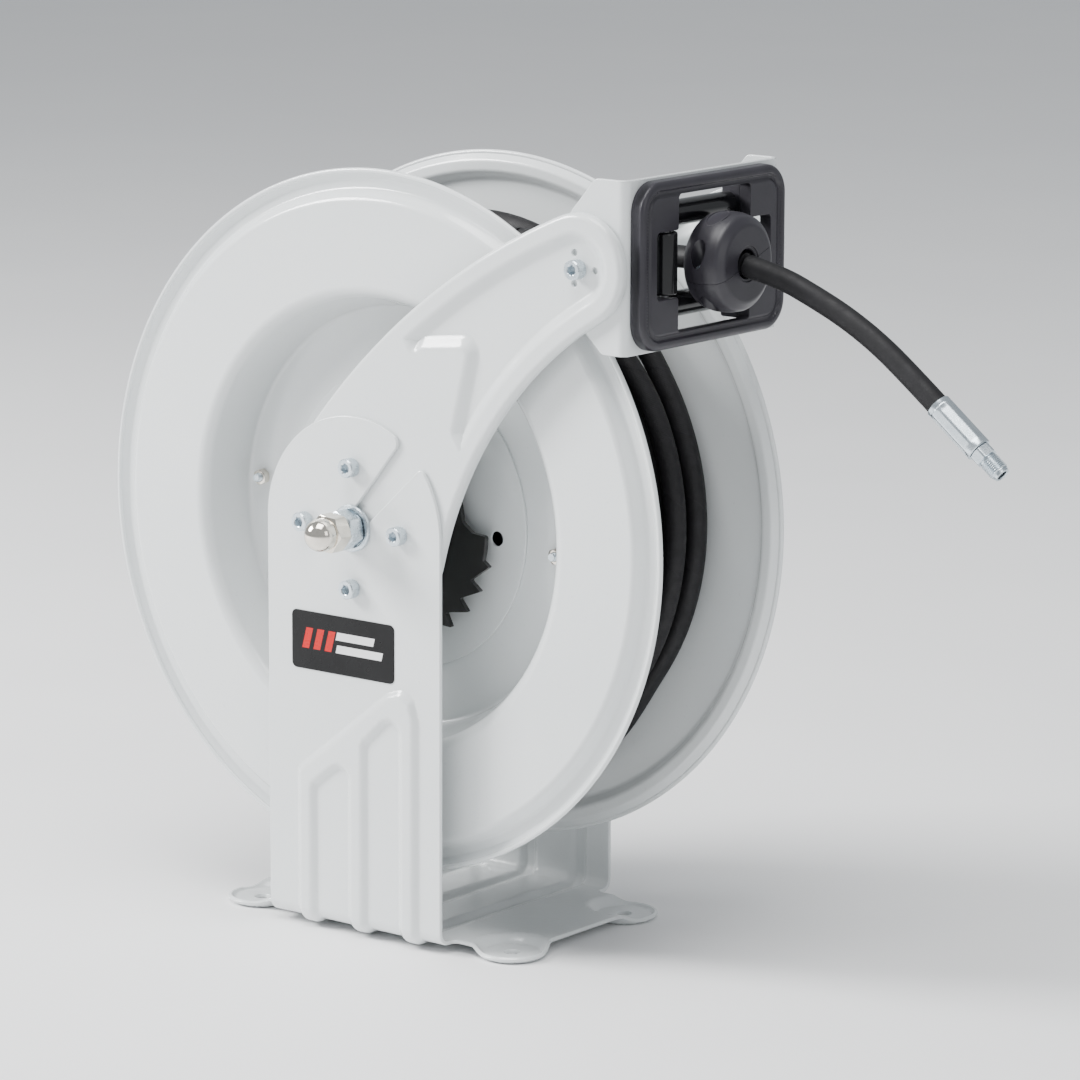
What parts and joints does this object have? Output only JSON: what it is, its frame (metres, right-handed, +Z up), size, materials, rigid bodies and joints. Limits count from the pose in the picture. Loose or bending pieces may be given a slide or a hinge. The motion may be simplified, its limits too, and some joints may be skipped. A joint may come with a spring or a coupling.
{
  "type": "spring rewind hose reel",
  "caption": "Open spring-rewind hose reel: hose wound on a sheet-metal drum turning between two arms on a pressed base, with a four-roller hose guide and a ball stop.",
  "frame": {"origin": "on the floor, at the centre of the rectangle of the four base holes", "axes": "+Z up, the drum's axle along Y with the label on the -Y side, the hose leaves towards +X"},
  "size_m": [0.6995, 0.2814, 0.536],
  "materials": {
    "white_paint": "cool off-white powder coat, gloss",
    "white_disc": "cool off-white powder coat, gloss",
    "zinc": "bright zinc plating",
    "nickel": "warm nickel plating",
    "axle_steel": "turned steel",
    "spring_steel": "blued spring steel",
    "brass": "turned brass",
    "bush_plastic": "dark plain bearing plastic",
    "guide_plastic": "charcoal moulded plastic, fine grain",
    "roller_plastic": "polished black plastic",
    "ratchet_black": "blackened steel",
    "hose_rubber": "matt black hose cover",
    "seal_rubber": "black rubber",
    "label": "black plate with a plain red and white graphic"
  },
  "bodies": {
    "stand": {"base_frame": "white_paint", "label_plate": "label", "front_arm": "white_paint", "rear_arm": "white_paint", "arm_bolts": "zinc", "arm_nuts": "zinc", "axle_shaft": "axle_steel", "axle_washers": "zinc", "axle_nuts": "zinc", "acorn_nut": "nickel", "inlet_elbow": "zinc", "spring_arbor": "axle_steel", "guide_bracket": "white_paint", "guide_frame": "guide_plastic", "guide_screws": "zinc", "roller_pins": "axle_steel", "pawl_bolt": "axle_steel", "pawl_spring": "spring_steel", "hose_lead": "hose_rubber", "stopper_upper": "guide_plastic", "stopper_lower": "guide_plastic", "stopper_screws": "zinc", "stopper_nuts": "zinc", "hose_end": "hose_rubber", "ferrule": "zinc", "hose_fitting": "zinc"},
    "drum": {"front_disc": "white_disc", "rear_disc": "white_disc", "drum_barrel": "white_disc", "tie_bolts": "zinc", "tie_nuts": "nickel", "spring_case": "white_disc", "spring_cover": "white_disc", "power_spring": "spring_steel", "ratchet_wheel": "ratchet_black", "hub_screws": "zinc", "front_bush": "bush_plastic", "rear_bush": "bush_plastic", "swivel_hub": "brass", "swivel_seals": "seal_rubber", "feed_pipe": "zinc", "wound_hose": "hose_rubber"},
    "top_roller": {"roller_top": "roller_plastic"},
    "bottom_roller": {"roller_bottom": "roller_plastic"},
    "front_roller": {"roller_front": "roller_plastic"},
    "rear_roller": {"roller_rear": "roller_plastic"},
    "pawl": {"ratchet_pawl": "ratchet_black"}
  },
  "joints": [
    {"name": "drum_spin", "type": "hinge", "parent": "stand", "child": "drum", "pos_m": [0, 0, 0.285], "axis": [0, 1, 0], "continuous": true},
    {"name": "top_roller_spin", "type": "hinge", "parent": "stand", "child": "top_roller", "pos_m": [0.2125, 0, 0.5088], "axis": [0, 1, 0], "continuous": true},
    {"name": "bottom_roller_spin", "type": "hinge", "parent": "stand", "child": "bottom_roller", "pos_m": [0.2125, 0, 0.4492], "axis": [0, 1, 0], "continuous": true},
    {"name": "front_roller_spin", "type": "hinge", "parent": "stand", "child": "front_roller", "pos_m": [0.221, -0.0425, 0.479], "axis": [0, 0, 1], "continuous": true},
    {"name": "rear_roller_spin", "type": "hinge", "parent": "stand", "child": "rear_roller", "pos_m": [0.221, 0.0425, 0.479], "axis": [0, 0, 1], "continuous": true},
    {"name": "pawl_swing", "type": "hinge", "parent": "stand", "child": "pawl", "pos_m": [0.0309, -0.048, 0.38011], "axis": [0, 1, 0], "range_deg": [0, 13], "stiffness_Nm_per_rad": 0.05}
  ]
}
